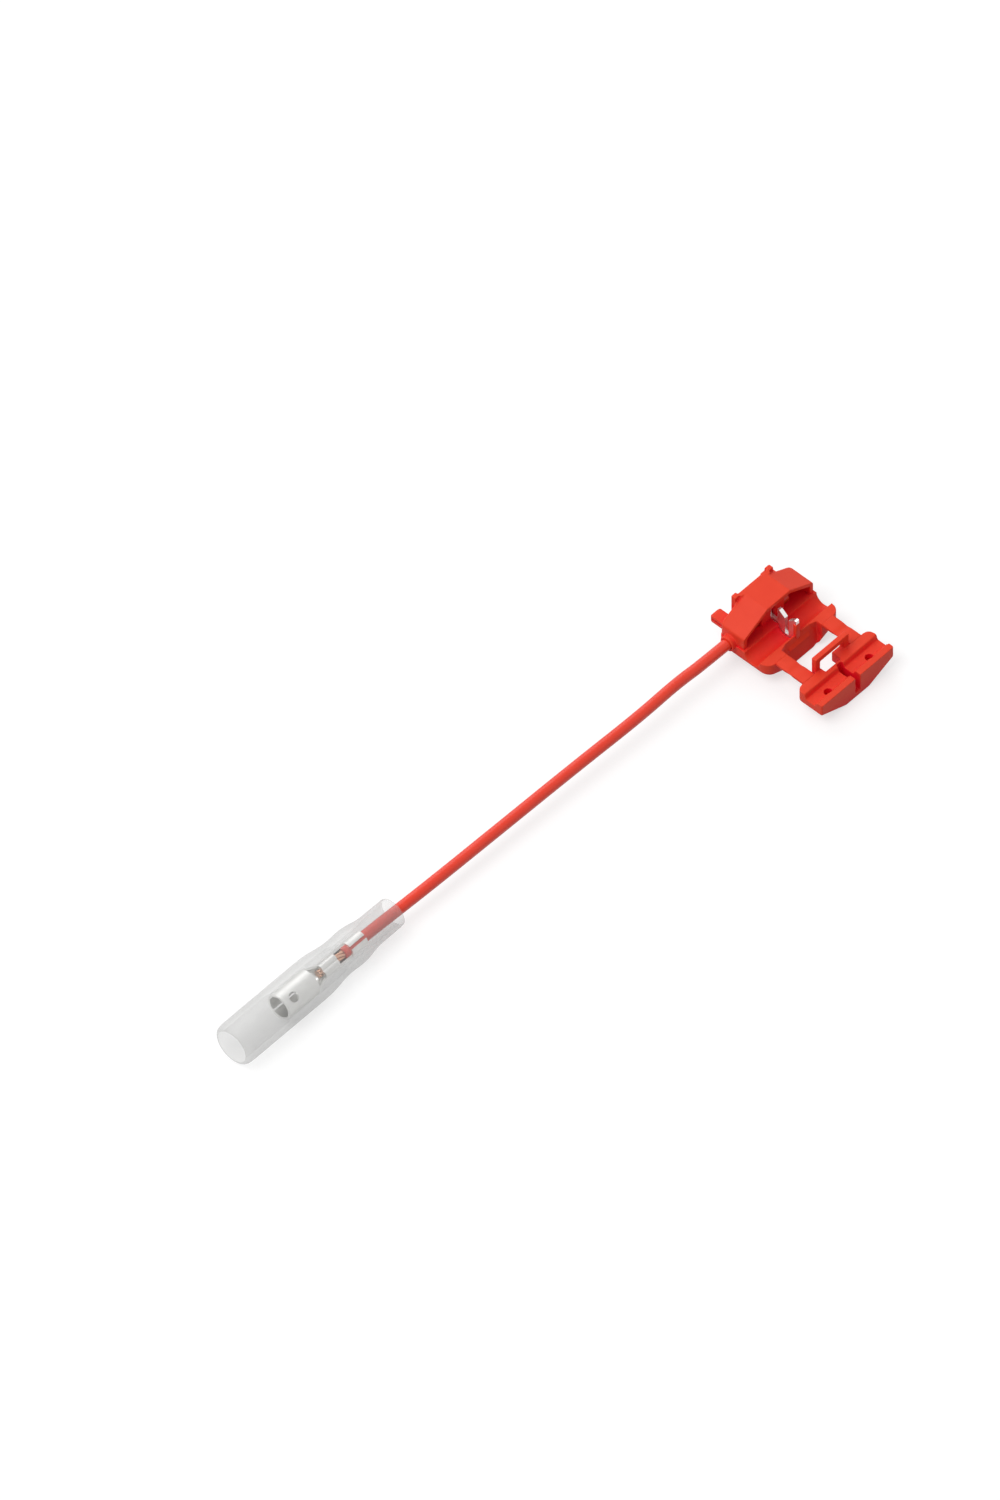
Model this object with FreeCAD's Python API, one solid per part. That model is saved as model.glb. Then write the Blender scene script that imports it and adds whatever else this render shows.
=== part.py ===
import FreeCAD, Part
import math
import os

# Wire tap with a short lead that ends in a female bullet terminal, millimetres.
# X runs along the lead and the wire grooves, the lead leaves towards -X.
# The open lid lies on the -Y side. The base stands with its bottom facet on Z=0.

Vec = FreeCAD.Vector

# Moulded leaves. Heights and depths count from the parting plane.
front_y = -5.25
base_depth = 4.8
base_length = 17.2
base_width = 11.0
lid_depth = 4.8
lid_width = 5.6
hood_height = 5.3
hood_end_step = 0.3
hood_mouth_inset = 2.85
hood_wall = 0.8
end_depth = 2.35
crease_x = 2.75
base_front_corner = 1.8
base_back_corner = 1.0
lid_strap_corner = 1.2
lid_outer_corner = 0.3
hood_corner = 0.8
base_round = 0.9
lid_round = 0.25
hood_round = 0.5

# Strap hinges
strap_width = 2.7
strap_end_inset = 1.7
strap_thickness = 0.6
strap_length = 6.05
loop_width = 2.2
loop_end_inset = 1.6
loop_reach = 3.5
loop_slit = 0.3
loop_corner = 0.4

# Run-wire groove, shared by base and lid
run_wire_inset = 3.6
groove_width = 3.3
lid_groove_depth = 1.0
lid_groove_reach = 1.85
lid_groove_slant = 0.4
lid_floor_edge = 0.45
lid_step_depth = 0.5
lid_rim = 1.15
blind_hole_radius = 0.72
blind_hole_inset = 3.7
blind_hole_depth = 1.6

# Lead
lead_radius = 1.0
lead_channel_clearance = 0.05
lead_inset = 2.45
lead_inner_end = 4.6
collar_length = 0.7
collar_radius = 1.4

# Splice contact
contact_thickness = 0.7
contact_tip = 3.4
contact_root = 2.5
contact_run_reach = 2.05
contact_lead_reach = 1.05
contact_bridge = 0.3
contact_slot = 0.8
slot_bottom = 1.25
lead_in_drop = 1.0
contact_pocket_clearance = 0.05
lid_contact_clearance = 0.25
hood_contact_clearance = 0.15

# Latches: a bail on each folding leaf, a notch and a wedge catch on the base
bail_strap_gap = 0.25
bail_post = 1.1
bail_depth = 1.05
bail_reach = 2.9
bail_bar = 1.0
lid_bail_root = 2.2
bail_side_clearance = 0.2
hood_bail_backing = 0.45
front_notch_depth = 1.65
notch_swing_depth = 1.2
notch_floor_width = 5.2
notch_foot_width = 6.4
notch_foot_depth = 0.45
back_notch_depth = 0.5
catch_side_clearance = 0.45
catch_top = 0.6
front_catch_reach = 0.7
back_catch_reach = 1.15
latch_clearance = 0.1
lid_window_depth = 1.0
lid_window_margin = 0.15
lid_rib_width = 1.8

# Holding blocks inside the hood, one each side of the contact
hold_block_length = 2.2
hold_block_inset = 1.6

# Socket terminal, measured along its axis from the front rim of the sleeve
socket_bore_radius = 2.0
sheet_thickness = 0.45
barrel_start = 11.3
barrel_length = 7.2
barrel_seam = 0.25
barrel_hole_radius = 0.9
barrel_hole_offset = 2.0
conductor_crimp_start = 21.1
conductor_crimp_length = 3.4
conductor_lobe_radius = 0.72
conductor_lobe_spread = 0.5
conductor_lobe_rise = 0.55
insulation_crimp_start = 27.5
insulation_crimp_length = 3.5
crimp_opening = 0.55
trough_rise = 0.2
terminal_roll = 35.0
insulation_end = 26.6

# Bare strands at the crimp, one in the middle and a ring around it
strand_radius = 0.24
strand_ring_radius = 0.49
strand_ring_count = 6
strands_crimp_clearance = 0.02
strands_start = 20.6

# Clear sleeve
sleeve_length = 38.5
sleeve_front_x = -125.0
sleeve_floor_gap = 0.05
sleeve_bore_radius = 2.6
sleeve_mouth_radius = 2.9
sleeve_mouth_length = 11.0
sleeve_body_radius = 3.9
sleeve_rim_round = 0.8
sleeve_body_end = 20.0
sleeve_waist = 25.5
sleeve_waist_radius = 3.25
sleeve_bulge = 28.7
sleeve_bulge_radius = 3.4
sleeve_neck_start = 32.8
sleeve_neck_radius = 2.75
sleeve_waist_bore = 2.05
sleeve_neck_bore = 1.75

# Lead route beyond the housing: chosen points of its axis
lead_axis_y = 5.55
lead_straight_end = -14.5
lead_route_middle = [
    (-25.0, 4.1, 4.75),
    (-41.0, 4.55, 4.45),
    (-61.0, 5.1, 4.1),
    (-82.0, 5.55, 3.95),
]
# Part of the shorter straight run that an arc takes at each corner
bend_share = 0.45

# Worked out from the sizes above
part_z = base_depth
half_base = base_length / 2
half_hood = half_base - hood_end_step
back_y = front_y + base_width
lead_exit_y = back_y - lead_inset
hood_mouth_y = lead_exit_y - hood_mouth_inset
run_wire_y = front_y + run_wire_inset
contact_front_y = run_wire_y - contact_run_reach
contact_back_y = lead_exit_y + contact_lead_reach
hinge_y = front_y - strap_length / 2
lid_strap_y = front_y - strap_length
lid_outer_y = lid_strap_y - lid_width
lid_run_y = 2 * hinge_y - run_wire_y
groove_radius = groove_width / 2
sleeve_axis_z = sleeve_body_radius + sleeve_floor_gap
barrel_radius = socket_bore_radius + sheet_thickness
insulation_crimp_radius = lead_radius + sheet_thickness
core_radius = strand_ring_radius + strand_radius + strands_crimp_clearance
lead_channel_radius = lead_radius + lead_channel_clearance
strap_span = (half_base - strap_end_inset - strap_width, half_base - strap_end_inset)
loop_span = (half_base - loop_end_inset - loop_width, half_base - loop_end_inset)
lid_half_bail = strap_span[0] - bail_strap_gap
hood_half_bail = loop_span[0] - bail_strap_gap
catch_width = 2 * (lid_half_bail - bail_post - catch_side_clearance)
lid_window_width = 2 * (lid_half_bail - bail_post - lid_window_margin)

# How far a cutting shape runs past what it cuts, and how near counts as on a plane
overcut = 1.0
near = 0.01


def prism_y(points, y_low, y_high):
    """Outline of (x, z) points, carried along Y."""
    corners = [Vec(x, y_low, z) for x, z in points]
    wire = Part.makePolygon(corners + corners[:1])
    return Part.Face(wire).extrude(Vec(0, y_high - y_low, 0))


def prism_x(points, x_low, x_high):
    """Outline of (y, z) points, carried along X."""
    corners = [Vec(x_low, y, z) for y, z in points]
    wire = Part.makePolygon(corners + corners[:1])
    return Part.Face(wire).extrude(Vec(x_high - x_low, 0, 0))


def prism_z(points, z_low, z_high):
    """Outline of (x, y) points, carried along Z."""
    corners = [Vec(x, y, z_low) for x, y in points]
    wire = Part.makePolygon(corners + corners[:1])
    return Part.Face(wire).extrude(Vec(0, 0, z_high - z_low))


def box(x_low, x_high, y_low, y_high, z_low, z_high):
    size = (x_high - x_low, y_high - y_low, z_high - z_low)
    return Part.makeBox(*size, Vec(x_low, y_low, z_low))


def rod_x(radius, x_low, x_high, y, z):
    return Part.makeCylinder(radius, x_high - x_low, Vec(x_low, y, z), Vec(1, 0, 0))


def facets(half_length, mid, end, crease, side):
    """Three-facet outline of a leaf, above (side 1) or below (side -1) the parting plane."""
    return [
        (-half_length, part_z),
        (-half_length, part_z + side * end),
        (-crease, part_z + side * mid),
        (crease, part_z + side * mid),
        (half_length, part_z + side * end),
        (half_length, part_z),
    ]


def round_edges(shape, radius, wanted):
    edges = [edge for edge in shape.Edges if wanted(edge)]
    return shape.makeFillet(radius, edges)


def leaf(half_length, y_low, y_high, mid, end, side, corner_radii, edge_radius):
    """Faceted block, its outer edges rounded, and its plan corners by the radius given for their Y."""
    body = prism_y(facets(half_length, mid, end, crease_x, side), y_low, y_high)
    for corner_y, radius in corner_radii.items():
        body = round_edges(body, radius, lambda edge: (
            abs(edge.tangentAt(edge.FirstParameter).z) > 1 - near
            and abs(edge.CenterOfMass.y - corner_y) < near))
    widest = max(corner_radii.values())

    def outer(edge):
        away = [abs(vertex.Z - part_z) > end - near for vertex in edge.Vertexes]
        along_crease = edge.BoundBox.YLength > edge.BoundBox.XLength + widest
        inner_crease = along_crease and abs(edge.CenterOfMass.x) < crease_x + near
        at_mouth = not any(abs(edge.CenterOfMass.y - y) < widest for y in corner_radii)
        return all(away) and not inner_crease and (not at_mouth or along_crease)

    return round_edges(body, edge_radius, outer)


def bail(wall_y, out, side, half_bail, root):
    """Two posts and a bar that stand on a leaf's wall and hook over a catch on the base."""
    far_y = wall_y + out * bail_depth
    y_low, y_high = sorted((wall_y, far_y))
    tip_z = part_z - side * bail_reach
    root_z = part_z + side * root
    z_low, z_high = sorted((tip_z, root_z))
    bar_low, bar_high = sorted((tip_z, tip_z + side * bail_bar))
    shape = box(-half_bail, half_bail, y_low, y_high, bar_low, bar_high)
    for end in (-1, 1):
        x_low, x_high = sorted((end * half_bail, end * (half_bail - bail_post)))
        shape = shape.fuse(box(x_low, x_high, y_low, y_high, z_low, z_high))
    shape = shape.removeSplitter()

    def outside(edge):
        middle = edge.CenterOfMass
        far = abs(middle.y - far_y) < near
        free_end = abs(abs(middle.x) - half_bail) < near or abs(middle.z - root_z) < near
        return far and (free_end or abs(middle.z - tip_z) < near)

    return round_edges(shape, bail_post / 4, outside)


def make_catch(wall_y, out, reach):
    """Wedge on a notch wall, with a ledge for the bail's bar to snap under."""
    ledge_z = part_z - bail_reach + bail_bar + latch_clearance
    outline = [
        (wall_y, part_z - catch_top),
        (wall_y + out * reach, ledge_z),
        (wall_y, ledge_z),
    ]
    return prism_x(outline, -catch_width / 2, catch_width / 2)


def front_notch():
    """Room in the base's front for the swing of the lid's bail. It narrows inwards and downwards."""
    half_notch = lid_half_bail + bail_side_clearance
    half_floor = notch_floor_width / 2
    half_foot = notch_foot_width / 2
    plan = prism_z([
        (-half_notch, front_y - overcut),
        (-half_notch, front_y + notch_swing_depth),
        (-half_floor, front_y + front_notch_depth),
        (half_floor, front_y + front_notch_depth),
        (half_notch, front_y + notch_swing_depth),
        (half_notch, front_y - overcut),
    ], 0, part_z)
    slanted = prism_x([
        (front_y - overcut, 0),
        (front_y + notch_foot_depth, 0),
        (front_y + front_notch_depth, part_z),
        (front_y - overcut, part_z),
    ], -half_notch, half_notch)
    tapered = prism_y([
        (-half_foot, 0),
        (-half_notch, part_z - bail_reach),
        (-half_notch, part_z),
        (half_notch, part_z),
        (half_notch, part_z - bail_reach),
        (half_foot, 0),
    ], front_y - overcut, back_y)
    return plan.common(slanted).common(tapered)


def make_housing_base():
    body = leaf(half_base, front_y, back_y, base_depth, end_depth, -1,
                {front_y: base_front_corner, back_y: base_back_corner}, base_round)
    reach = half_base + overcut
    body = body.fuse(rod_x(collar_radius, -half_base - collar_length, -half_base + base_back_corner,
                           lead_exit_y, part_z))
    body = body.cut(box(-2 * reach, reach, front_y - overcut, back_y + overcut, part_z, 2 * part_z))
    body = body.cut(rod_x(groove_radius, -reach, reach, run_wire_y, part_z))
    body = body.cut(rod_x(lead_channel_radius, -reach - collar_length,
                          lead_inner_end + lead_channel_clearance, lead_exit_y, part_z))
    half_notch = hood_half_bail + bail_side_clearance
    back_notch = box(-half_notch, half_notch, back_y - back_notch_depth, back_y + overcut,
                     -overcut, part_z + overcut)
    body = body.cut([front_notch(), back_notch])
    body = body.fuse([
        make_catch(front_y + front_notch_depth, -1, front_catch_reach),
        make_catch(back_y - back_notch_depth, 1, back_catch_reach),
    ])
    pocket = contact_thickness / 2 + contact_pocket_clearance
    body = body.cut(box(-pocket, pocket, contact_front_y - contact_pocket_clearance,
                        contact_back_y + contact_pocket_clearance,
                        part_z - contact_root - contact_pocket_clearance, part_z + overcut))
    return body.removeSplitter()


def make_hood():
    body = leaf(half_hood, hood_mouth_y, back_y, hood_height, end_depth, 1,
                {back_y: hood_corner}, hood_round)

    buried = hood_wall / 2
    outline = facets(half_hood - hood_wall, hood_height - hood_wall, end_depth - buried, crease_x, 1)
    lowered = [(x, z if z > part_z else z - overcut) for x, z in outline]
    body = body.cut(prism_y(lowered, hood_mouth_y - overcut, back_y - hood_wall))
    blocks = []
    for end in (-1, 1):
        inner = contact_thickness / 2 + hood_contact_clearance
        x_low, x_high = sorted((end * inner, end * (inner + hold_block_length)))
        blocks.append(box(x_low, x_high, lead_exit_y - hold_block_inset, back_y - buried,
                          part_z, part_z + hood_height - buried))
    collar = rod_x(collar_radius, -half_base - collar_length, -half_hood + hood_wall, lead_exit_y, part_z)
    above = box(-2 * half_base, half_base, hood_mouth_y, back_y + overcut, part_z, part_z + hood_height)
    body = body.fuse(blocks + [collar.common(above)])
    body = body.cut(rod_x(lead_channel_radius, -half_base - 2 * collar_length,
                          lead_inner_end + lead_channel_clearance, lead_exit_y, part_z))
    inner_post = hood_half_bail - bail_post
    backing = box(-inner_post, inner_post, back_y - buried, back_y + hood_bail_backing,
                  part_z, part_z + hood_height)
    body = body.fuse([backing, bail(back_y, 1, 1, hood_half_bail, hood_height)])
    return body.removeSplitter()


def lid_groove():
    """Steep wall on the strap side, a floor, and a step up to the flat outer rim."""
    floor_z = part_z - lid_groove_depth
    wall_y = lid_run_y + lid_groove_reach
    floor_end = lid_run_y - lid_floor_edge
    rim_y = lid_outer_y + lid_rim
    return prism_x([
        (wall_y, part_z + near),
        (wall_y - lid_groove_slant, floor_z),
        (floor_end, floor_z),
        (floor_end, part_z - lid_step_depth),
        (rim_y, part_z - lid_step_depth / 2),
        (rim_y, part_z + near),
    ], -half_base - overcut, half_base + overcut)


def make_lid():
    body = leaf(half_base, lid_outer_y, lid_strap_y, lid_depth, end_depth, -1,
                {lid_outer_y: lid_outer_corner, lid_strap_y: lid_strap_corner}, lid_round)
    body = body.cut(lid_groove())
    for end in (-1, 1):
        drilled = lid_groove_depth + blind_hole_depth
        floor = Vec(end * (half_base - blind_hole_inset), lid_run_y, part_z - drilled)
        body = body.cut(Part.makeCylinder(blind_hole_radius, drilled + overcut, floor))
    slot = contact_thickness / 2 + lid_contact_clearance
    slot_start = 2 * hinge_y - contact_front_y + lid_contact_clearance
    body = body.cut(box(-slot, slot, lid_outer_y - overcut, slot_start,
                        part_z - contact_tip - lid_contact_clearance, part_z + overcut))
    half_window = lid_window_width / 2
    window_floor = part_z - lid_bail_root
    body = body.cut(box(-half_window, half_window, lid_strap_y - lid_window_depth, lid_strap_y + overcut,
                        window_floor, part_z + overcut))
    half_rib = lid_rib_width / 2
    rib = box(-half_rib, half_rib, lid_strap_y - lid_window_depth, lid_strap_y + bail_depth,
              window_floor, part_z)
    body = body.fuse([rib, bail(lid_strap_y, 1, -1, lid_half_bail, lid_bail_root)])
    return body.removeSplitter()


def make_strap_half(end, y_near, y_far):
    x_low, x_high = sorted(end * x for x in strap_span)
    y_low, y_high = sorted((y_near, y_far))
    return box(x_low, x_high, y_low, y_high, part_z - strap_thickness, part_z)


def make_hood_strap(end):
    """A strap folded double: two layers joined by a round fold that stands out at the back."""
    x_low, x_high = sorted(end * x for x in loop_span)
    half_slit = loop_slit / 2
    outer = half_slit + strap_thickness
    fold_y = back_y + loop_reach - outer
    strip = box(x_low, x_high, back_y, fold_y, part_z - outer, part_z + outer)
    strip = strip.fuse(rod_x(outer, x_low, x_high, fold_y, part_z))
    tip_y = back_y + loop_reach
    strip = strip.common(prism_z([
        (x_low, back_y),
        (x_low, tip_y - loop_corner),
        (x_low + loop_corner, tip_y),
        (x_high - loop_corner, tip_y),
        (x_high, tip_y - loop_corner),
        (x_high, back_y),
    ], part_z - outer, part_z + outer))
    slit = box(x_low - overcut, x_high + overcut, back_y - overcut, fold_y,
               part_z - half_slit, part_z + half_slit)
    slit = slit.fuse(rod_x(half_slit, x_low - overcut, x_high + overcut, fold_y, part_z))
    return strip.cut(slit).removeSplitter()


def make_splice_contact():
    """Flat plate with a fork for the run wire and a fork for the lead."""
    half_slot = contact_slot / 2
    tip = part_z + contact_tip
    shoulder = tip - lead_in_drop
    bottom = part_z - slot_bottom
    bridge = part_z + contact_bridge
    root = part_z - contact_root
    run_fork_back = run_wire_y + (run_wire_y - contact_front_y)
    lead_fork_front = lead_exit_y - (contact_back_y - lead_exit_y)
    outline = [
        (contact_front_y, root),
        (contact_front_y, tip),
        (contact_front_y + half_slot, tip),
        (run_wire_y - half_slot, shoulder),
        (run_wire_y - half_slot, bottom),
        (run_wire_y + half_slot, bottom),
        (run_wire_y + half_slot, shoulder),
        (run_fork_back - half_slot, tip),
        (run_fork_back, tip),
        (run_fork_back, bridge),
        (lead_fork_front, bridge),
        (lead_fork_front, shoulder),
        (lead_exit_y - half_slot, shoulder - half_slot),
        (lead_exit_y - half_slot, bottom),
        (lead_exit_y + half_slot, bottom),
        (lead_exit_y + half_slot, shoulder - half_slot),
        (contact_back_y, shoulder),
        (contact_back_y, root),
    ]
    return prism_x(outline, -contact_thickness / 2, contact_thickness / 2)


def lead_points():
    straight = [Vec(x, lead_exit_y, part_z) for x in (lead_inner_end, lead_straight_end)]
    outer = Vec(sleeve_front_x + insulation_end, lead_axis_y, sleeve_axis_z)
    return straight + [Vec(*point) for point in lead_route_middle] + [outer]


def make_lead(contact):
    """Round lead along straight runs joined by tangent arcs, notched where the fork bites it."""
    points = lead_points()
    edges = []
    start = points[0]
    for before, corner, after in zip(points, points[1:], points[2:]):
        towards = (before - corner).normalize()
        onwards = (after - corner).normalize()
        shorter = min((before - corner).Length, (after - corner).Length)
        turn = math.pi - towards.getAngle(onwards)
        tangent = bend_share * shorter
        radius = tangent / math.tan(turn / 2)
        print("lead bend radius %.0f mm" % radius)
        enter = corner + towards * tangent
        leave = corner + onwards * tangent
        bisector = (towards + onwards).normalize()
        middle = corner + bisector * (radius / math.cos(turn / 2) - radius)
        edges.append(Part.LineSegment(start, enter).toShape())
        edges.append(Part.Arc(enter, middle, leave).toShape())
        start = leave
    edges.append(Part.LineSegment(start, points[-1]).toShape())
    path = Part.Wire(edges)
    section = Part.Wire(Part.makeCircle(lead_radius, points[0], points[1] - points[0]))
    tube = path.makePipeShell([section], True, True)
    expected = math.pi * lead_radius ** 2 * path.Length
    print("lead %.1f mm long, volume %.2f of %.2f" % (path.Length, tube.Volume, expected))
    return tube.cut(contact)


def on_lead_axis(shape):
    """Moves a piece made about the X axis, from s=0 at the sleeve's rim, to its place on the lead."""
    placed = shape.copy()
    placed.translate(Vec(sleeve_front_x, lead_axis_y, sleeve_axis_z))
    return placed


def ring(inner, outer, start, length):
    return rod_x(outer, start, start + length, 0, 0).cut(rod_x(inner, start, start + length, 0, 0))


def crimp_rod(radius, y, z):
    return rod_x(radius, conductor_crimp_start, conductor_crimp_start + conductor_crimp_length, y, z)


def make_conductor_crimp():
    """The trough filled around the strands, with two rolled lobes on top."""
    top = box(conductor_crimp_start, conductor_crimp_start + conductor_crimp_length,
              -barrel_radius, barrel_radius, conductor_lobe_rise, barrel_radius)
    crimp = crimp_rod(insulation_crimp_radius, 0, 0).cut(top)
    for side in (-1, 1):
        lobe_y = side * conductor_lobe_spread
        crimp = crimp.fuse(crimp_rod(conductor_lobe_radius, lobe_y, conductor_lobe_rise))
    return crimp.cut(crimp_rod(core_radius, 0, 0))


def make_socket_terminal():
    """Rolled from one sheet: socket barrel, trough, conductor crimp, insulation crimp."""
    barrel_end = barrel_start + barrel_length
    body = ring(socket_bore_radius, barrel_radius, barrel_start, barrel_length)
    seam = box(barrel_start - overcut, barrel_end + overcut, -barrel_seam / 2, barrel_seam / 2,
               -barrel_radius - overcut, 0)
    hole = Part.makeCylinder(barrel_hole_radius, barrel_radius + overcut,
                             Vec(barrel_start + barrel_hole_offset, 0, 0))
    body = body.cut([seam, hole])

    crimp_inner = insulation_crimp_radius - sheet_thickness
    taper = conductor_crimp_start - barrel_end
    axis = Vec(1, 0, 0)
    cone = Part.makeCone(barrel_radius, insulation_crimp_radius, taper, Vec(barrel_end, 0, 0), axis)
    cone = cone.cut(Part.makeCone(socket_bore_radius, crimp_inner, taper, Vec(barrel_end, 0, 0), axis))
    crimp_end = insulation_crimp_start + insulation_crimp_length
    trough = ring(crimp_inner, insulation_crimp_radius, conductor_crimp_start,
                  insulation_crimp_start - conductor_crimp_start)
    upper = box(barrel_end, insulation_crimp_start, -barrel_radius, barrel_radius,
                trough_rise, barrel_radius + overcut)
    trough = cone.fuse(trough).cut(upper)

    wings = ring(crimp_inner, insulation_crimp_radius, insulation_crimp_start, insulation_crimp_length)
    opening = box(insulation_crimp_start, crimp_end, -crimp_opening / 2, crimp_opening / 2,
                  0, barrel_radius)
    wings = wings.cut(opening)
    body = body.fuse([trough, make_conductor_crimp(), wings]).removeSplitter()
    body.rotate(Vec(0, 0, 0), axis, terminal_roll)
    return on_lead_axis(body)


def make_lead_strands():
    """Bare strands from the insulation's end through the conductor crimp."""
    centres = [(0, 0)]
    for index in range(strand_ring_count):
        angle = 2 * math.pi * index / strand_ring_count
        centres.append((strand_ring_radius * math.cos(angle), strand_ring_radius * math.sin(angle)))
    strands = [rod_x(strand_radius, strands_start, insulation_end, y, z) for y, z in centres]
    return on_lead_axis(Part.makeCompound(strands))


def level_swell(start, end):
    """Two equal arcs, level at both ends, that meet half way."""
    run = end.x - start.x
    rise = end.z - start.z
    radius = (run ** 2 + rise ** 2) / (4 * abs(rise))
    half_turn = math.asin(run / (2 * radius)) / 2
    sagitta = math.copysign(radius * (1 - math.cos(half_turn)), rise)
    step = Vec(radius * math.sin(half_turn), 0, sagitta)
    meet = (start + end) / 2
    return [Part.Arc(start, start + step, meet).toShape(), Part.Arc(meet, end - step, end).toShape()]


def make_clear_sleeve():
    """Turned outline: a straight body, a waist and a bulge over the crimps, and a narrow neck."""
    rim_step = sleeve_rim_round * (1 - math.sqrt(0.5))
    body_end = Vec(sleeve_body_end, 0, sleeve_body_radius)
    waist = Vec(sleeve_waist, 0, sleeve_waist_radius)
    straight = [
        waist,
        Vec(sleeve_bulge, 0, sleeve_bulge_radius),
        Vec(sleeve_neck_start, 0, sleeve_neck_radius),
        Vec(sleeve_length, 0, sleeve_neck_radius),
        Vec(sleeve_length, 0, sleeve_neck_bore),
        Vec(sleeve_neck_start, 0, sleeve_neck_bore),
        Vec(sleeve_neck_start - sheet_thickness, 0, sleeve_waist_bore),
        Vec(sleeve_waist, 0, sleeve_waist_bore),
        Vec(sleeve_waist - sheet_thickness, 0, sleeve_bore_radius),
        Vec(sleeve_mouth_length, 0, sleeve_bore_radius),
        Vec(sleeve_mouth_length, 0, sleeve_mouth_radius),
        Vec(0, 0, sleeve_mouth_radius),
        Vec(0, 0, sleeve_body_radius - sleeve_rim_round),
        Vec(rim_step, 0, sleeve_body_radius - rim_step),
        Vec(sleeve_rim_round, 0, sleeve_body_radius),
        body_end,
    ]
    outline = level_swell(body_end, waist)
    outline += [Part.makeLine(here, there) for here, there in zip(straight, straight[1:])]
    face = Part.Face(Part.Wire(outline))
    return on_lead_axis(face.revolve(Vec(0, 0, 0), Vec(1, 0, 0), 360))


contact = make_splice_contact()
pieces = {
    "housing_base": make_housing_base(),
    "hood": make_hood(),
    "lid": make_lid(),
    "splice_contact": contact,
    "lead": make_lead(contact),
    "lead_strands": make_lead_strands(),
    "socket_terminal": make_socket_terminal(),
    "clear_sleeve": make_clear_sleeve(),
}
for place, end in (("near", -1), ("far", 1)):
    pieces["hood_strap_" + place] = make_hood_strap(end)
    pieces["lid_strap_base_side_" + place] = make_strap_half(end, front_y, hinge_y)
    pieces["lid_strap_lid_side_" + place] = make_strap_half(end, hinge_y, lid_strap_y)

os.makedirs("parts", exist_ok=True)
for name, shape in pieces.items():
    box_size = shape.optimalBoundingBox(False, False)
    print("%-26s valid %s solids %d volume %.2f  z %.2f..%.2f" % (
        name, shape.isValid(), len(shape.Solids), shape.Volume, box_size.ZMin, box_size.ZMax))
    shape.exportStep("parts/" + name + ".step")
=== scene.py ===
import bpy
import bmesh
import math
from mathutils import Matrix, Vector


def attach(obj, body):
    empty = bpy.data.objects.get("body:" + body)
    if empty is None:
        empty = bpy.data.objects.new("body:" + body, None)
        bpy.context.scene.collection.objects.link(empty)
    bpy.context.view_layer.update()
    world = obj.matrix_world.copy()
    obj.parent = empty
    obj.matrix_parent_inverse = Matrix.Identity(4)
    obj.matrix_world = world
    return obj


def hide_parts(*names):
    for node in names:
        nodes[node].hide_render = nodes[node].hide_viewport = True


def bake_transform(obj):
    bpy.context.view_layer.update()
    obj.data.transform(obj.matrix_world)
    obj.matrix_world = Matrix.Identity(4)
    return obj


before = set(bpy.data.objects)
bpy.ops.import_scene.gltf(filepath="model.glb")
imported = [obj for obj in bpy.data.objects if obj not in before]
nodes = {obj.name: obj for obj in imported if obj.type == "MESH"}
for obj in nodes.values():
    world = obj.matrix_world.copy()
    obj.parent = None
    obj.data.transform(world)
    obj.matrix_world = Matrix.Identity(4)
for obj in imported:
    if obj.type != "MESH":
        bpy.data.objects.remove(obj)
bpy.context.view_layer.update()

# Lengths in the settings dictionaries are in millimetres, unless they are multiplied by mm there
mm = 0.001
print("frame loaded:", len(nodes), "CAD nodes")


# Materials. Sock wraps one output socket, so that shader maths reads as an expression.
class Sock:
    def __init__(self, mat, out):
        self.mat = mat
        self.out = out

    def maths(self, operation, first, second):
        return self.mat.node("ShaderNodeMath", {"operation": operation}, {0: first, 1: second})

    def __add__(self, other):
        return self.maths("ADD", self, other)

    def __mul__(self, other):
        return self.maths("MULTIPLY", self, other)

    def __radd__(self, other):
        return self.maths("ADD", other, self)

    def __rmul__(self, other):
        return self.maths("MULTIPLY", other, self)

    def __pow__(self, other):
        return self.maths("POWER", self, other)

    def atMost(self, most):
        return self.maths("MINIMUM", self, most)

    # 0 up to low, 1 from high on, with a soft step between
    def step(self, low, high):
        settings = {"interpolation_type": "SMOOTHSTEP"}
        return self.mat.node("ShaderNodeMapRange", settings, {"Value": self, "From Min": low, "From Max": high})


class Tree:
    def __init__(self, tree):
        self.tree = tree

    # Any node: its settings first, then its sockets by name or number
    def node(self, kind, settings=None, inputs=None, out=0):
        made = self.tree.nodes.new(kind)
        for key, value in (settings or {}).items():
            setattr(made, key, value)
        for key, value in (inputs or {}).items():
            self.feed(made.inputs[key], value)
        return Sock(self, made.outputs[out])

    def feed(self, socket, value):
        if isinstance(value, Sock):
            self.tree.links.new(value.out, socket)
        else:
            socket.default_value = value


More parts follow.
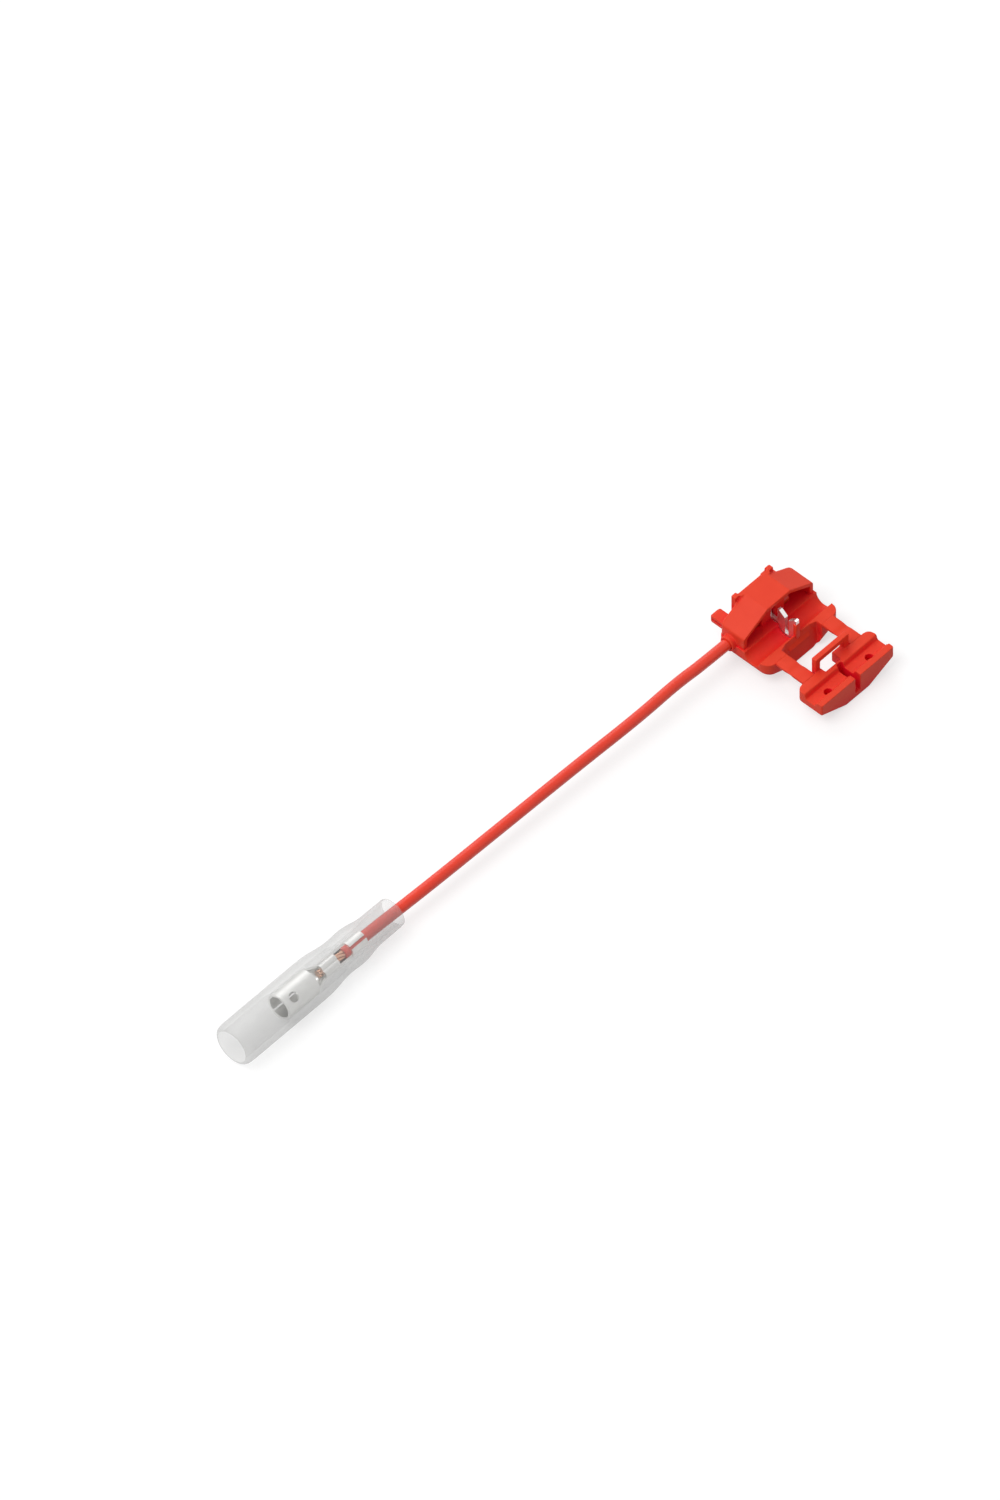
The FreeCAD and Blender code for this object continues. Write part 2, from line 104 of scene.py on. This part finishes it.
class Mat(Tree):
    def __init__(self, name):
        self.material = bpy.data.materials.new(name)
        self.material.use_nodes = True
        super().__init__(self.material.node_tree)
        self.shader = self.tree.nodes["Principled BSDF"]
        self.output = self.tree.nodes["Material Output"]

    def set(self, **inputs):
        for key, value in inputs.items():
            self.feed(self.shader.inputs[key.replace("_", " ")], value)

    def objectPlace(self):
        return self.node("ShaderNodeTexCoord", out="Object")

    def noise(self, size, detail=3.0, place=None):
        inputs = {"Vector": place or self.objectPlace(), "Scale": 1 / size, "Detail": detail}
        return self.node("ShaderNodeTexNoise", {}, inputs, out="Fac")

    def blendColour(self, factor, first, second):
        settings = {"data_type": "RGBA"}
        return self.node("ShaderNodeMix", settings, {"Factor": factor, 6: first, 7: second}, out=2)

    def bump(self, height, distance, strength=1.0):
        self.feed(self.shader.inputs["Normal"], self.node(
            "ShaderNodeBump", {}, {"Height": height, "Distance": distance, "Strength": strength}))


def paint(obj, made):
    obj.data.materials.clear()
    obj.data.materials.append(made.material)


# Camera: orthographic, fitted on the housing's corners, 6.2 photo pixels to a millimetre
photoView = {
    "azimuth": -47.5,
    "elevation": 50.2,
    "frameHeight": 1500,
    "frameWidth": 1000,
    "pixelsPerMm": 6.2,
    "anchor": Vector((0, 0, 4.8)) * mm,
    "anchorPixel": (780.7, 622.5),
    "distance": 0.6,
    "clip": (0.01, 10),
}


def makeCamera(view):
    turn = math.radians(view["azimuth"])
    lift = math.radians(view["elevation"])
    back = Vector((math.sin(turn) * math.cos(lift), -math.cos(turn) * math.cos(lift), math.sin(lift)))
    rotation = (-back).to_track_quat("-Z", "Y")
    right = rotation @ Vector((1, 0, 0))
    up = rotation @ Vector((0, 1, 0))
    pixel = mm / view["pixelsPerMm"]
    across = (view["frameWidth"] / 2 - view["anchorPixel"][0]) * pixel
    upward = (view["anchorPixel"][1] - view["frameHeight"] / 2) * pixel
    data = bpy.data.cameras.new("camera")
    data.type = "ORTHO"
    data.ortho_scale = view["frameHeight"] * pixel
    data.clip_start, data.clip_end = view["clip"]
    camera = bpy.data.objects.new("camera", data)
    bpy.context.scene.collection.objects.link(camera)
    camera.rotation_mode = "QUATERNION"
    camera.rotation_quaternion = rotation
    camera.location = view["anchor"] + right * across + up * upward + back * view["distance"]
    bpy.context.scene.camera = camera


makeCamera(photoView)
print("camera placed")

# Lead: the route's chosen points, as control points of one smooth spline
leadRoute = {
    "radius": 1.0 * mm,
    "points": [
        (4.6, 3.3, 4.8),
        (-14.5, 3.3, 4.8),
        (-20.5, 3.75, 4.8),
        (-30.0, 3.55, 4.7),
        (-44.0, 4.15, 4.4),
        (-61.0, 4.6, 4.1),
        (-79.0, 5.0, 3.95),
        (-93.5, 5.55, 3.95),
        (-98.4, 5.55, 3.95),
    ],
    "order": 3,
    "steps": 24,
    "roundness": 8,
    "exit": (-9.3, 3.3, 4.8),
    "length": 103.0 * mm,
}


def leadMaterial():
    made = Mat("leadInsulation")
    streak = made.noise(2.5 * mm, 2.0)
    fine = made.noise(0.25 * mm, 4.0)
    made.set(
        Base_Color=made.blendColour(streak, (0.80, 0.036, 0.012, 1), (0.86, 0.050, 0.018, 1)),
        Roughness=0.3 + 0.12 * fine,
        Specular_IOR_Level=0.4,
        Coat_Weight=0.15,
        Coat_Roughness=0.2,
    )
    made.bump(fine, 0.01 * mm, 0.5)
    return made


def makeLead(route):
    data = bpy.data.curves.new("insulated_lead", "CURVE")
    data.dimensions = "3D"
    data.resolution_u = route["steps"]
    data.bevel_depth = route["radius"]
    data.bevel_resolution = route["roundness"]
    data.use_fill_caps = True
    spline = data.splines.new("NURBS")
    spline.points.add(len(route["points"]) - 1)
    for point, place in zip(spline.points, route["points"]):
        point.co = (*(Vector(place) * mm), 1)
    spline.order_u = route["order"]
    spline.use_endpoint_u = True
    lead = bpy.data.objects.new("insulated_lead", data)
    bpy.context.scene.collection.objects.link(lead)
    paint(lead, leadMaterial())
    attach(lead, "housing")
    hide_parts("lead")
    return lead


lead = makeLead(leadRoute)
print("lead laid along its route")


# Red moulding: satin, slightly mottled, with painted shade: a darker crimson is mixed into its recesses by ambient
# occlusion
def mouldingMaterial():
    made = Mat("redMoulding")
    cloud = made.noise(3.5 * mm, 2.0)
    grain = made.noise(0.12 * mm, 3.0)
    paintedShadeOpenness = made.node("ShaderNodeAmbientOcclusion", {"samples": 8}, {"Distance": 5 * mm}, out="AO")
    lit = made.blendColour(cloud, (0.78, 0.046, 0.018, 1), (0.85, 0.062, 0.026, 1))
    made.set(
        # painted shade: where ambient occlusion finds a recess, the mottled red gives way to a darker crimson
        Base_Color=made.blendColour(paintedShadeOpenness.step(0.25, 0.95), (0.84, 0.006, 0.022, 1), lit),
        Roughness=0.42 + 0.14 * grain,
        Specular_IOR_Level=0.18,
    )
    made.bump(grain, 0.006 * mm, 0.6)
    return made


def tinMaterial():
    made = Mat("tinnedSheet")
    cloud = made.noise(1.6 * mm, 3.0)
    scuff = made.noise(0.2 * mm, 4.0)
    made.set(
        Base_Color=made.blendColour(cloud, (0.80, 0.80, 0.785, 1), (0.88, 0.88, 0.865, 1)),
        Metallic=1.0,
        Roughness=0.3 + 0.2 * scuff,
    )
    made.bump(scuff, 0.004 * mm, 0.5)
    return made


def strandMaterial():
    made = Mat("bareStrands")
    cloud = made.noise(0.6 * mm, 3.0)
    made.set(
        Base_Color=made.blendColour(cloud, (0.72, 0.38, 0.24, 1), (0.84, 0.50, 0.34, 1)),
        Metallic=1.0,
        Roughness=0.25 + 0.15 * cloud,
    )
    return made


# Milky vinyl: the outside carries the veil, and the bore only a little of it
def vinylMaterial(name, veil, edgeVeil):
    made = Mat(name)
    cloud = made.noise(4.0 * mm, 2.0)
    facing = made.node("ShaderNodeLayerWeight", {}, {"Blend": 0.35}, out="Facing")
    made.set(
        Base_Color=made.blendColour(cloud, (0.51, 0.505, 0.495, 1), (0.58, 0.575, 0.56, 1)),
        Roughness=0.18 + 0.12 * cloud,
        IOR=1.5,
        Alpha=veil + 0.05 * cloud + edgeVeil * facing ** 2,
    )
    return made


moulding = mouldingMaterial()
tin = tinMaterial()
for name, node in nodes.items():
    if name in ("housing_base", "hood", "lid") or "strap" in name:
        paint(node, moulding)
paint(nodes["splice_contact"], tin)
paint(nodes["socket_terminal"], tin)
print("CAD nodes painted")


def addPiece(name, shape, body, material, replaced):
    mesh = bpy.data.meshes.new(name)
    bmesh.ops.recalc_face_normals(shape, faces=shape.faces)
    shape.to_mesh(mesh)
    shape.free()
    piece = bpy.data.objects.new(name, mesh)
    bpy.context.scene.collection.objects.link(piece)
    paint(piece, material)
    if body:
        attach(piece, body)
    if replaced:
        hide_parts(*replaced)
    mesh.shade_smooth()
    return piece


# Bare strands: one straight in the middle, six laid round it, each a circle spun along its own screw
bareStrands = {
    "start": Vector((-104.4, 5.55, 3.95)) * mm,
    "length": 6.0,
    "radius": 0.235,
    "ringRadius": 0.49,
    "ringCount": 6,
    "turnDegrees": 210,
    "steps": 30,
    "sides": 10,
}


def makeStrands(settings):
    shape = bmesh.new()
    along = Vector((1, 0, 0))
    step = along * settings["length"] * mm / settings["steps"]
    upright = Matrix.Rotation(math.pi / 2, 4, "Y")
    centres = [Vector((0, 0, 0))]
    for index in range(settings["ringCount"]):
        turn = Matrix.Rotation(2 * math.pi * index / settings["ringCount"], 4, along)
        centres.append(turn @ Vector((0, settings["ringRadius"], 0)))
    for centre in centres:
        place = Matrix.Translation(settings["start"] + centre * mm) @ upright
        ring = bmesh.ops.create_circle(shape, segments=settings["sides"], radius=settings["radius"] * mm,
                                       matrix=place)["verts"]
        edges = list({edge for vert in ring for edge in vert.link_edges})
        bmesh.ops.spin(shape, geom=ring + edges, cent=settings["start"], axis=along, dvec=step,
                       angle=math.radians(settings["turnDegrees"]), steps=settings["steps"])
    bmesh.ops.holes_fill(shape, edges=[edge for edge in shape.edges if edge.is_boundary])
    return addPiece("twisted_strands", shape, "housing", strandMaterial(), ["lead_strands"])


strands = makeStrands(bareStrands)
print("strands twisted")


# Moulded pieces: copies of the CAD leaves and loops, with the soft edges of a moulding
softMoulding = {
    "bodies": {
        "housing_base": "housing",
        "hood": "housing",
        "hood_strap_near": "housing",
        "hood_strap_far": "housing",
        "lid": "lid",
    },
    "weld": 0.001,
    "voxel": 0.1,
    "softenFactor": 0.5,
    "softenTurns": 6,
    "flat": 0.2,
    "ribHalf": 0.9,
    "ribY": (-12.3, -10.25),
    "ribLow": 2.6,
    "ribNow": (0.95, 2.75),
}


# The rib in the lid's window stands at its far side, against the bail's post. Flat faces are joined first, so that
# none of their triangles is drawn across the contact's slot by the move.
def moveRib(shape, settings):
    bmesh.ops.dissolve_limit(shape, angle_limit=math.radians(settings["flat"]), use_dissolve_boundaries=False,
                             verts=shape.verts, edges=shape.edges)
    low, high = settings["ribY"]
    half = settings["ribHalf"]
    slack = settings["weld"]
    for vert in shape.verts:
        x, y, z = vert.co / mm
        if abs(abs(x) - half) < slack and low - slack < y < high + slack and z > settings["ribLow"] - slack:
            vert.co.x = settings["ribNow"][int(x > 0)] * mm


def softCopy(name, body, settings, material):
    shape = bmesh.new()
    shape.from_mesh(nodes[name].data)
    bmesh.ops.remove_doubles(shape, verts=shape.verts, dist=settings["weld"] * mm)
    if name == "lid":
        moveRib(shape, settings)
    piece = addPiece("soft_" + name, shape, body, material, [name])
    skin = piece.modifiers.new("skin", "REMESH")
    skin.mode = "VOXEL"
    skin.voxel_size = settings["voxel"] * mm
    skin.use_smooth_shade = True
    soften = piece.modifiers.new("soften", "SMOOTH")
    soften.factor = settings["softenFactor"]
    soften.iterations = settings["softenTurns"]
    return piece


for name, body in softMoulding["bodies"].items():
    softCopy(name, body, softMoulding, moulding)
print("moulded pieces softened")

# A moulded guard round the foot of the contact's front prong, narrow enough for the lid's slot
prongGuard = {
    "low": (-0.48, -3.84, 4.0),
    "high": (0.48, -3.1, 7.3),
    "edge": 0.12,
    "steps": 3,
}


def makeGuard(settings, material):
    low, high = Vector(settings["low"]) * mm, Vector(settings["high"]) * mm
    shape = bmesh.new()
    bmesh.ops.create_cube(shape, size=1)
    bmesh.ops.scale(shape, verts=shape.verts, vec=high - low)
    bmesh.ops.translate(shape, verts=shape.verts, vec=(low + high) / 2)
    bmesh.ops.bevel(shape, geom=shape.edges[:], offset=settings["edge"] * mm, segments=settings["steps"],
                    profile=0.5, affect="EDGES", material=-1)
    return addPiece("prong_guard", shape, "housing", material, [])


makeGuard(prongGuard, moulding)
print("prong guard placed")


# Clear sleeve: its turned outline, as (distance from the rim, radius) along the outside and back inside. The neck's
# bore leaves room for the lead's bend when the sleeve is slid back.
clearSleeve = {
    "rim": Vector((-125.0, 5.55, 3.95)) * mm,
    "outside": [
        (0.0, 3.0), (0.1, 3.4), (0.4, 3.75), (1.0, 3.9), (3.0, 3.9), (11.0, 3.9), (17.5, 3.9), (20.0, 3.88),
        (21.6, 3.74), (23.3, 3.43), (24.8, 3.27), (26.0, 3.25), (27.4, 3.35), (28.7, 3.4), (30.2, 3.22),
        (31.6, 2.9), (32.8, 2.76), (35.0, 2.75), (38.1, 2.75), (38.45, 2.68),
    ],
    "inside": [
        (38.5, 2.45), (38.45, 2.26), (38.1, 2.2), (35.5, 2.2), (33.0, 2.2), (32.4, 2.18), (31.6, 2.05),
        (27.0, 2.05), (25.5, 2.06), (24.8, 2.5), (24.1, 2.6), (17.0, 2.6), (11.4, 2.6), (11.1, 2.62),
        (10.9, 2.88), (10.4, 2.9), (5.0, 2.9), (0.4, 2.9), (0.05, 2.92),
    ],
    "turns": 40,
    "outsideVeil": (0.24, 0.34),
    "boreVeil": (0.05, 0.04),
    "smoothing": 1,
}


def makeSleeve(settings):
    shape = bmesh.new()
    along, across = Vector((1, 0, 0)), Vector((0, 0, 1))
    outline = settings["outside"] + settings["inside"]
    points = [shape.verts.new(settings["rim"] + (along * s + across * r) * mm) for s, r in outline]
    edges = [shape.edges.new(pair) for pair in zip(points, points[1:] + points[:1])]
    bmesh.ops.spin(shape, geom=points + edges, cent=settings["rim"], axis=along, angle=2 * math.pi,
                   steps=settings["turns"], use_merge=True)
    outside = vinylMaterial("clearVinyl", *settings["outsideVeil"])
    sleeve = addPiece("soft_sleeve", shape, "sleeve", outside, ["clear_sleeve"])
    sleeve.data.materials.append(vinylMaterial("clearVinylBore", *settings["boreVeil"]).material)
    for face in sleeve.data.polygons:
        away = face.center - settings["rim"]
        away.x = 0
        face.material_index = int(face.normal.dot(away) < 0)
    smooth = sleeve.modifiers.new("smooth", "SUBSURF")
    smooth.levels = smooth.render_levels = settings["smoothing"]
    return sleeve


sleeve = makeSleeve(clearSleeve)


# Lid straps: one strip each across the hinge line, a little thinner along its fold
lidStrap = {
    "inner": 4.2,
    "outer": 6.9,
    "baseY": -5.15,
    "foldY": -8.275,
    "lidY": -11.4,
    "top": 4.8,
    "thickness": 0.6,
    "cuts": 23,
    "foldHalf": 1.1,
    "foldDip": 0.16,
    "edge": 0.13,
    "edgeSteps": 2,
}


# The edges that run along a strip from end to end
def longEdges(shape, length):
    return [edge for edge in shape.edges if abs(edge.verts[0].co.y - edge.verts[1].co.y) > length * mm / 2]


def makeStrap(settings, name, side, material, replaced):
    shape = bmesh.new()
    length = settings["baseY"] - settings["lidY"]
    width = settings["outer"] - settings["inner"]
    bmesh.ops.create_cube(shape, size=1)
    bmesh.ops.scale(shape, verts=shape.verts, vec=(width * mm, length * mm, settings["thickness"] * mm))
    bmesh.ops.bevel(shape, geom=longEdges(shape, length), offset=settings["edge"] * mm,
                    segments=settings["edgeSteps"], profile=0.5, affect="EDGES", material=-1)
    bmesh.ops.subdivide_edges(shape, edges=longEdges(shape, length), cuts=settings["cuts"], use_grid_fill=True)
    middle = Vector((side * (settings["inner"] + settings["outer"]) / 2,
                     (settings["baseY"] + settings["lidY"]) / 2,
                     settings["top"] - settings["thickness"] / 2)) * mm
    bmesh.ops.translate(shape, verts=shape.verts, vec=middle)
    for vert in shape.verts:
        away = abs(vert.co.y / mm - settings["foldY"]) / settings["foldHalf"]
        if away < 1:
            dip = settings["foldDip"] * mm * (1 + math.cos(math.pi * away)) / 2
            vert.co.z += -dip if vert.co.z > middle.z else dip
    strap = addPiece(name, shape, None, material, replaced)
    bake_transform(strap)


for place, side in (("near", -1), ("far", 1)):
    halves = ["lid_strap_base_side_" + place, "lid_strap_lid_side_" + place]
    makeStrap(lidStrap, "lid_strap_" + place, side, moulding, halves)
print("lid straps laid across the hinge")


# Studio: a white floor that keeps the shadow, plain soft lamps
studio = {
    "floorSize": 3.0,
    "floorZ": 0.0,
    "floorColour": 0.42,
    "floorGlow": 0.64,
    "worldStrength": 0.42,
    "lamps": [
        {"name": "key", "place": (-0.42, 0.12, 0.75), "size": 0.5, "power": 3.9},
        {"name": "fill", "place": (0.2, 0.6, 0.55), "size": 0.7, "power": 1.9},
    ],
}


# 1 on the rays that look at the background: straight, mirrored or through something clear
def backgroundRays(tree):
    path = "ShaderNodeLightPath"
    seen = tree.node(path, out="Is Camera Ray") + tree.node(path, out="Is Glossy Ray")
    return (seen + tree.node(path, out="Is Transmission Ray")).atMost(1)


def makeFloor(settings):
    made = Mat("whiteFloor")
    glow = made.node("ShaderNodeEmission", {}, {"Color": (1, 1, 1, 1)})
    made.feed(glow.out.node.inputs["Strength"], settings["floorGlow"] * backgroundRays(made))
    made.set(Base_Color=(*[settings["floorColour"]] * 3, 1), Roughness=0.9, Specular_IOR_Level=0.0)
    both = made.node("ShaderNodeAddShader", {}, {0: Sock(made, made.shader.outputs[0]), 1: glow})
    made.feed(made.output.inputs["Surface"], both)
    mesh = bpy.data.meshes.new("floor")
    shape = bmesh.new()
    bmesh.ops.create_grid(shape, x_segments=1, y_segments=1, size=settings["floorSize"] / 2)
    bmesh.ops.translate(shape, verts=shape.verts, vec=(0, 0, settings["floorZ"]))
    shape.to_mesh(mesh)
    shape.free()
    floor = bpy.data.objects.new("floor", mesh)
    bpy.context.scene.collection.objects.link(floor)
    paint(floor, made)


def makeLight(settings):
    for lamp in settings["lamps"]:
        data = bpy.data.lights.new(lamp["name"], "AREA")
        data.size = lamp["size"]
        data.energy = lamp["power"]
        light = bpy.data.objects.new(lamp["name"], data)
        bpy.context.scene.collection.objects.link(light)
        light.location = lamp["place"]
        light.rotation_euler = (-Vector(lamp["place"])).to_track_quat("-Z", "Y").to_euler()
    world = bpy.data.worlds.new("studio")
    world.use_nodes = True
    sky = Tree(world.node_tree)
    background = world.node_tree.nodes["Background"]
    background.inputs["Color"].default_value = (1, 1, 1, 1)
    plain = settings["worldStrength"]
    sky.feed(background.inputs["Strength"], plain + (1 - plain) * backgroundRays(sky))
    bpy.context.scene.world = world


makeFloor(studio)
makeLight(studio)
bpy.context.scene.view_settings.view_transform = "Standard"
print("studio lit")
